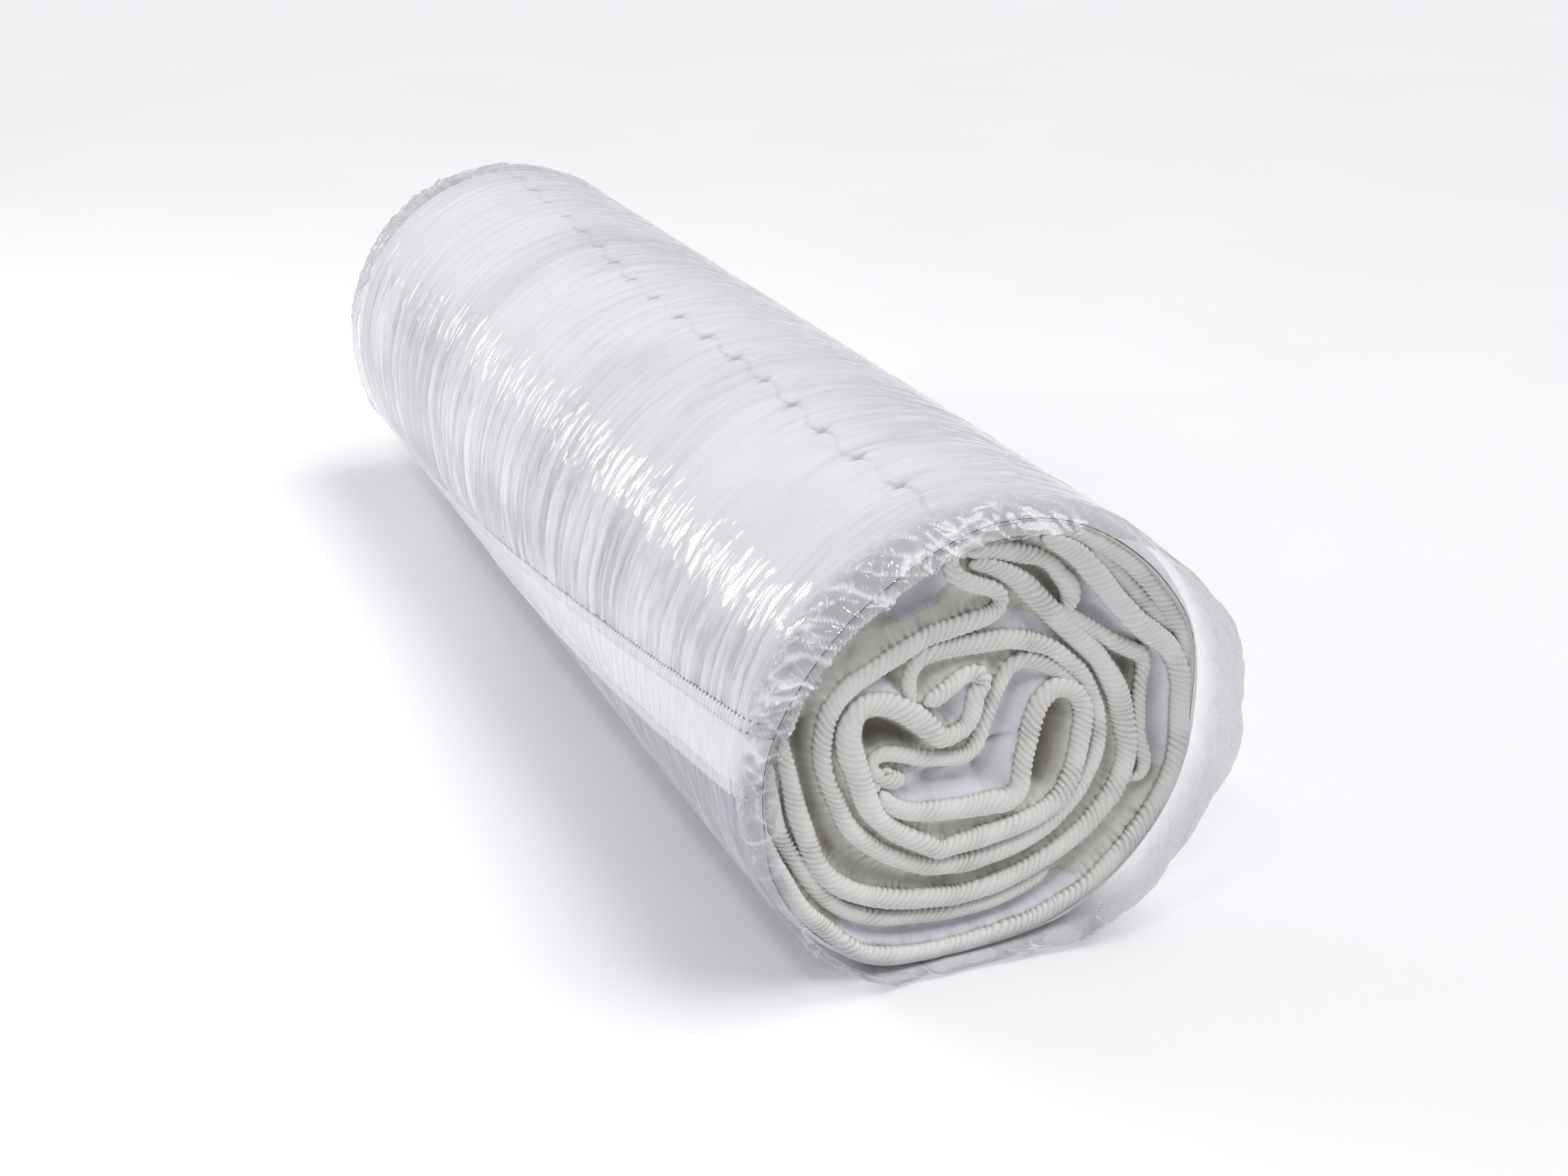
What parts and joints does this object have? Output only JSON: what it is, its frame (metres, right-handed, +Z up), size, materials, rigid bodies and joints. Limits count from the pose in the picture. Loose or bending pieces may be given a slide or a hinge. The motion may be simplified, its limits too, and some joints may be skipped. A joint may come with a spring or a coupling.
{
  "type": "rolled memory foam mattress",
  "caption": "Single memory foam mattress, pressed flat, rolled up with a folded core and wrapped in clear stretch film that stays open at both ends.",
  "frame": {"origin": "middle of the roll's footprint, on the plane of its flattened underside", "axes": "+Y along the roll, away from the end that the picture shows; +Z up; +X to the right seen from that end"},
  "size_m": [0.315, 1.075, 0.3005],
  "materials": {
    "border_far": "smooth matt lilac-white fabric",
    "border_foot": "smooth matt lilac-white fabric",
    "border_head": "smooth matt lilac-white fabric",
    "border_near": "smooth matt lilac-white fabric",
    "cover_inside_panel": "matt white ribbed knit",
    "cover_outside_panel": "matt white knit, finely wrinkled round the roll",
    "edge_tape_inside_far": "matt white, puckered into ribs",
    "edge_tape_inside_foot": "matt white, puckered into ribs",
    "edge_tape_inside_head": "matt white, puckered into ribs",
    "edge_tape_inside_near": "matt white, puckered into ribs",
    "edge_tape_outside_far": "matt white, puckered into ribs",
    "edge_tape_outside_foot": "matt white, puckered into ribs",
    "edge_tape_outside_head": "matt white, puckered into ribs",
    "edge_tape_outside_near": "matt white, puckered into ribs",
    "memory_foam": "matt, fine open cells",
    "stretch_film": "clear, glossy, finely creased plastic film",
    "support_foam": "matt, fine open cells"
  },
  "bodies": {
    "root": {"border_far": "border_far", "border_foot": "border_foot", "border_head": "border_head", "border_near": "border_near", "cover_inside_panel": "cover_inside_panel", "cover_outside_panel": "cover_outside_panel", "edge_tape_inside_far": "edge_tape_inside_far", "edge_tape_inside_foot": "edge_tape_inside_foot", "edge_tape_inside_head": "edge_tape_inside_head", "edge_tape_inside_near": "edge_tape_inside_near", "edge_tape_outside_far": "edge_tape_outside_far", "edge_tape_outside_foot": "edge_tape_outside_foot", "edge_tape_outside_head": "edge_tape_outside_head", "edge_tape_outside_near": "edge_tape_outside_near", "memory_foam": "memory_foam", "stretch_film": "stretch_film", "support_foam": "support_foam"}
  },
  "joints": []
}
